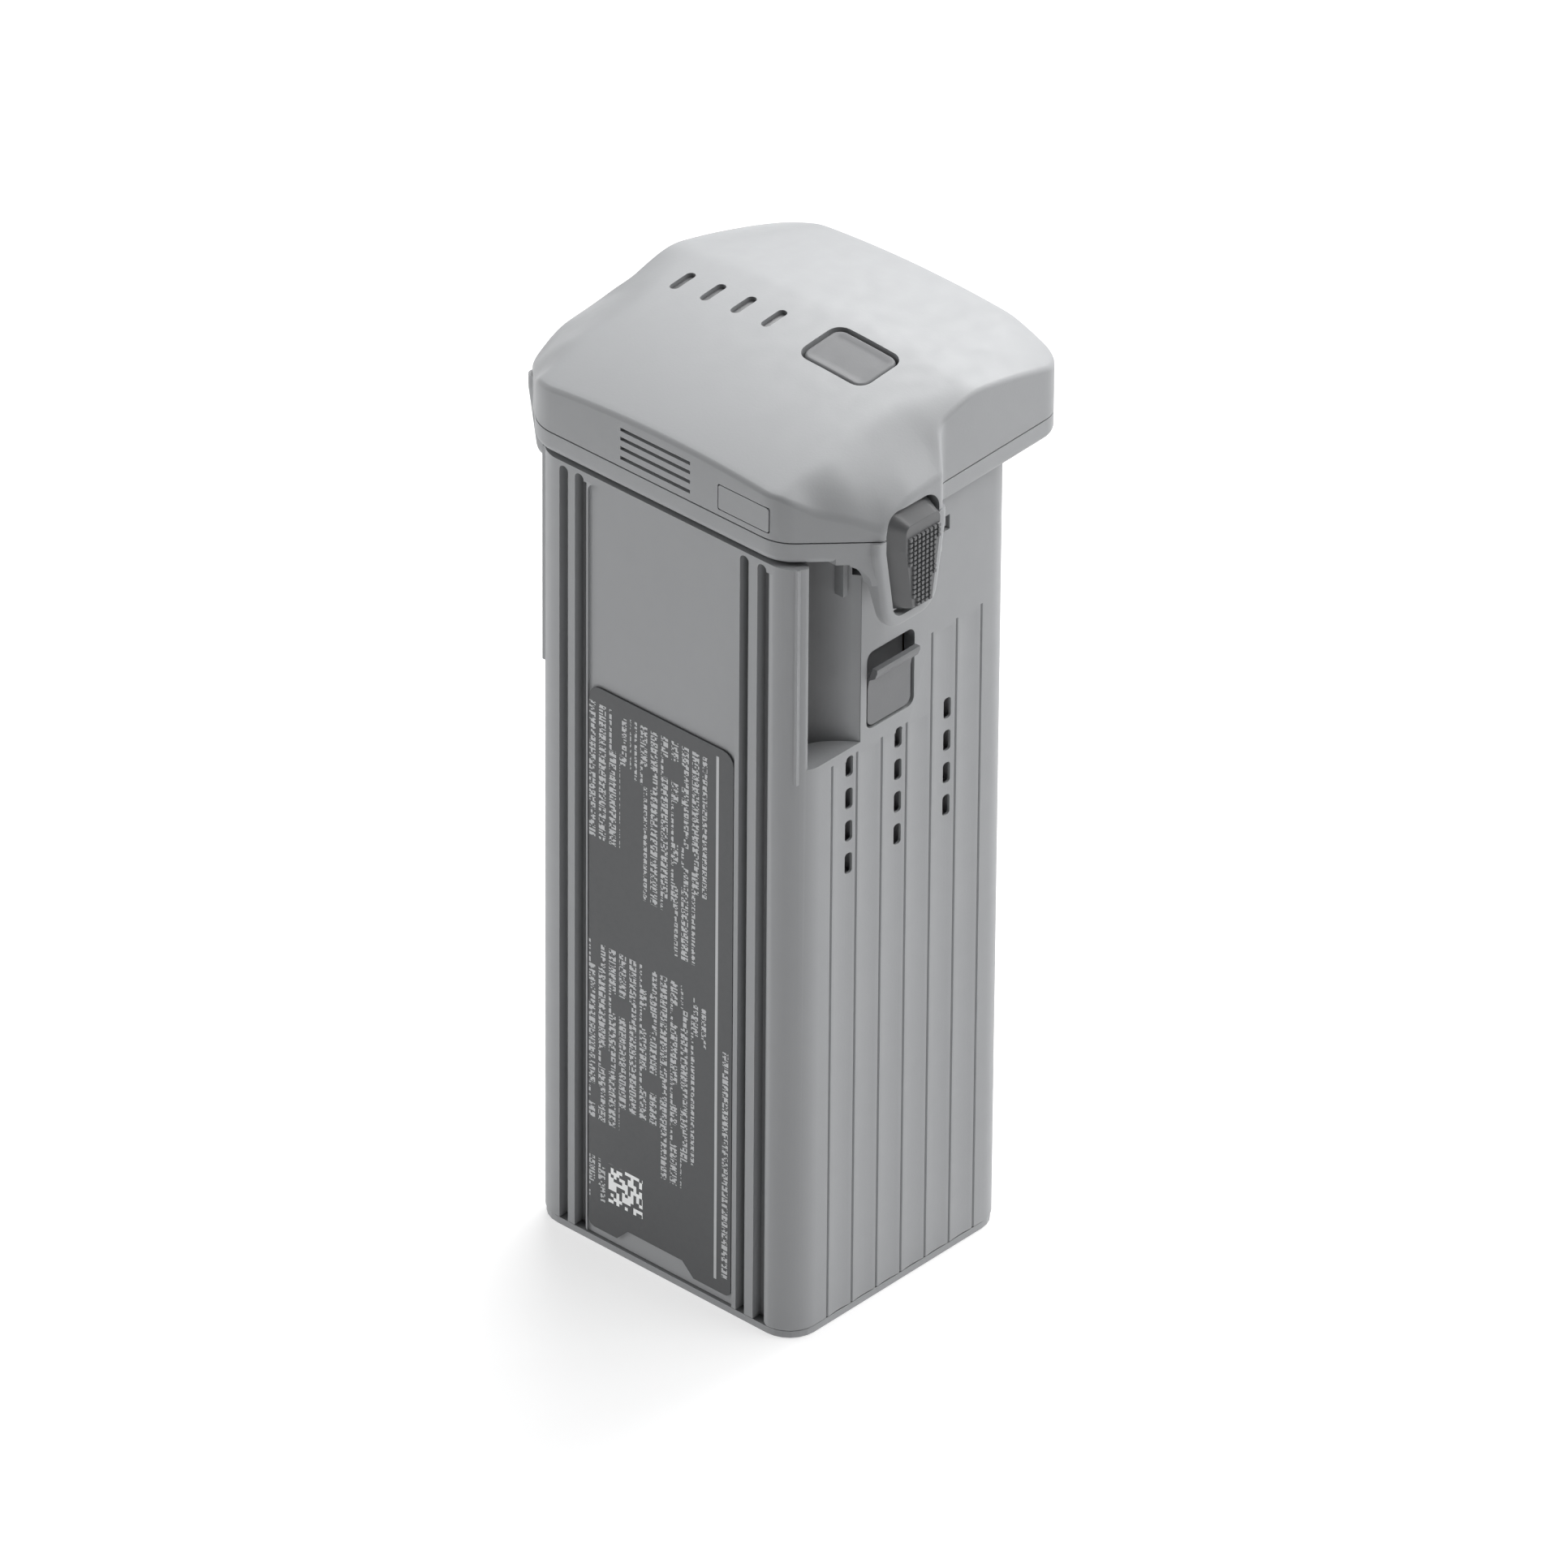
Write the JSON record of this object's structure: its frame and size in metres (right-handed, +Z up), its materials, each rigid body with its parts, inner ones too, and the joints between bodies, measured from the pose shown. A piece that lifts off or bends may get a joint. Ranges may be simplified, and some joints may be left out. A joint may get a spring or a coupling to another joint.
{
  "type": "smart battery pack",
  "caption": "Slide-in smart battery pack with a fluted, vented case, a wedge head with power button and charge windows, and sprung side latches.",
  "frame": {"origin": "bottom centre of the case, on the face the pack stands on", "axes": "+X to the right along the label face, +Y from the label face to the back, +Z up from the foot to the head"},
  "size_m": [0.0624, 0.0491, 0.1336],
  "materials": {
    "case_grey": "fine moulded texture",
    "case_dark": "fine moulded texture",
    "label_film": "satin printed film",
    "light_pipe": "smoked translucent",
    "cell_film": "satin laminate film",
    "foam": "open-cell foam",
    "circuit_board": "solder mask",
    "black_plastic": "moulded",
    "nickel": "nickel plated",
    "contact_brass": "gold plated",
    "spring_steel": "drawn wire",
    "screw_steel": "blackened",
    "red_silicone": "silicone",
    "black_silicone": "silicone",
    "ribbon_film": "polyimide film",
    "led_resin": "clear resin",
    "white_plastic": "moulded"
  },
  "bodies": {
    "case": {"body_shell": "case_grey", "bottom_cap": "case_grey", "head_tray": "case_grey", "head_cover": "case_grey", "service_plate": "case_grey", "rating_label": "label_film", "latch_spring_left": "spring_steel", "latch_spring_right": "spring_steel", "tact_switch": "screw_steel", "indicator_board": "circuit_board", "main_board": "circuit_board", "tab_carrier": "black_plastic", "connector_housing": "black_plastic", "thermistor": "black_plastic", "heat_spreader": "nickel", "sense_connector": "white_plastic", "positive_lead": "red_silicone", "negative_lead": "black_silicone", "signal_ribbon": "ribbon_film", "indicator_ribbon": "ribbon_film", "signal_contacts": "contact_brass", "power_contact_negative": "contact_brass", "power_contact_positive": "contact_brass", "light_pipe_1": "light_pipe", "status_led_1": "led_resin", "cell_1": "cell_film", "foot_screw_1": "screw_steel", "cover_screw_1": "screw_steel", "light_pipe_2": "light_pipe", "status_led_2": "led_resin", "cell_2": "cell_film", "foot_screw_2": "screw_steel", "cover_screw_2": "screw_steel", "light_pipe_3": "light_pipe", "status_led_3": "led_resin", "cell_3": "cell_film", "foot_screw_3": "screw_steel", "cover_screw_3": "screw_steel", "light_pipe_4": "light_pipe", "status_led_4": "led_resin", "cell_4": "cell_film", "foot_screw_4": "screw_steel", "cover_screw_4": "screw_steel", "foam_pad_1": "foam", "foam_pad_2": "foam", "foam_pad_3": "foam", "board_screw_1": "screw_steel", "power_transistor_1": "black_plastic", "board_screw_2": "screw_steel", "power_transistor_2": "black_plastic", "bus_bar_1_2": "nickel", "bus_bar_2_3": "nickel", "bus_bar_3_4": "nickel", "bus_bar_negative": "nickel", "bus_bar_positive": "nickel"},
    "button": {"power_button": "case_grey", "switch_plunger": "black_plastic"},
    "left_latch": {"latch_left": "case_dark"},
    "right_latch": {"latch_right": "case_dark"}
  },
  "joints": [
    {"name": "power_button_press", "type": "slide", "parent": "case", "child": "button", "axis": [-0.0489, 0.0849, -0.9952], "range_m": [0, 0.0005], "stiffness_N_per_m": 2400, "springref_m": -0.0003},
    {"name": "latch_left_press", "type": "slide", "parent": "case", "child": "left_latch", "axis": [1, 0, 0], "range_m": [0, 0.002], "stiffness_N_per_m": 1500, "springref_m": -0.001, "deforming": ["latch_spring_left"]},
    {"name": "latch_right_press", "type": "slide", "parent": "case", "child": "right_latch", "axis": [-1, 0, 0], "range_m": [0, 0.002], "stiffness_N_per_m": 1500, "springref_m": -0.001, "deforming": ["latch_spring_right"]}
  ]
}
